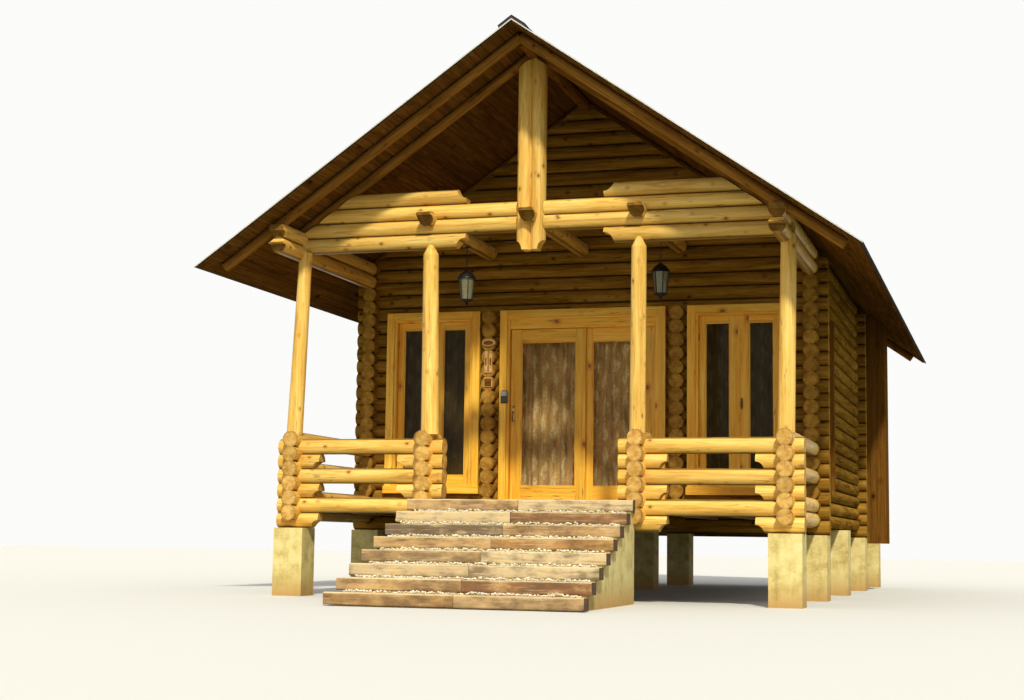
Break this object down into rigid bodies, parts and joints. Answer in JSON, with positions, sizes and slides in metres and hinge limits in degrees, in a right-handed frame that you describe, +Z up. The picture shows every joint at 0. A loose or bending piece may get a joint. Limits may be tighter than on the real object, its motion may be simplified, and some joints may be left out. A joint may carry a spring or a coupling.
{
  "type": "log cabin",
  "caption": "Gabled log cabin on concrete piers with an open front porch, log railings, sleeper steps and a sliding glazed door.",
  "frame": {"origin": "centre of the bounding box's bottom face, at the level of the ground at the foot of the steps", "axes": "+Z up, -Y the front with the steps and porch, +X to the right seen from the front"},
  "size_m": [7.12, 12.605, 6.055],
  "materials": {
    "black_metal": "plain",
    "board_wood": "plain",
    "concrete": "plain",
    "curtain_fabric": "plain",
    "device_plastic": "plain",
    "edge_metal": "plain",
    "glass": "plain",
    "joinery": "plain",
    "lantern_glass": "plain",
    "log_wood": "plain",
    "shingle": "plain",
    "sleeper_wood": "plain"
  },
  "bodies": {
    "cabin": {"card_reader": "device_plastic", "curtain_rail": "log_wood", "curtains": "curtain_fabric", "door_fixed_glass": "glass", "door_fixed_leaf": "joinery", "door_frame": "joinery", "drip_edge": "edge_metal", "duct_closet": "board_wood", "glass_front_left": "glass", "glass_front_right": "glass", "house_floor": "board_wood", "king_post": "log_wood", "lantern_glass": "lantern_glass", "lanterns": "black_metal", "piers": "concrete", "porch_beams": "log_wood", "porch_deck": "board_wood", "porch_plates": "log_wood", "porch_sill": "log_wood", "posts": "log_wood", "rafters_left": "log_wood", "rafters_right": "log_wood", "rail_front_left": "log_wood", "rail_front_right": "log_wood", "rail_side_left": "log_wood", "rail_side_right": "log_wood", "ridge_beam": "log_wood", "ridge_cap": "shingle", "roof_boards_left": "board_wood", "roof_boards_right": "board_wood", "roof_cover_left": "shingle", "roof_cover_right": "shingle", "sleepers": "sleeper_wood", "stair_base": "concrete", "truss_left": "log_wood", "truss_right": "log_wood", "wall_clamps": "log_wood", "wall_cross": "log_wood", "wall_cross_head": "log_wood", "wall_front_head": "log_wood", "wall_front_left": "log_wood", "wall_front_right": "log_wood", "wall_rear": "log_wood", "wall_side_left": "log_wood", "wall_side_right": "log_wood", "window_front_left": "joinery", "window_front_right": "joinery"},
    "sliding_door": {"door_leaf": "joinery", "door_glass": "glass", "door_pull": "black_metal"}
  },
  "joints": [
    {"name": "door_slide", "type": "slide", "parent": "cabin", "child": "sliding_door", "axis": [1, 0, 0], "range_m": [0, 0.75]}
  ]
}
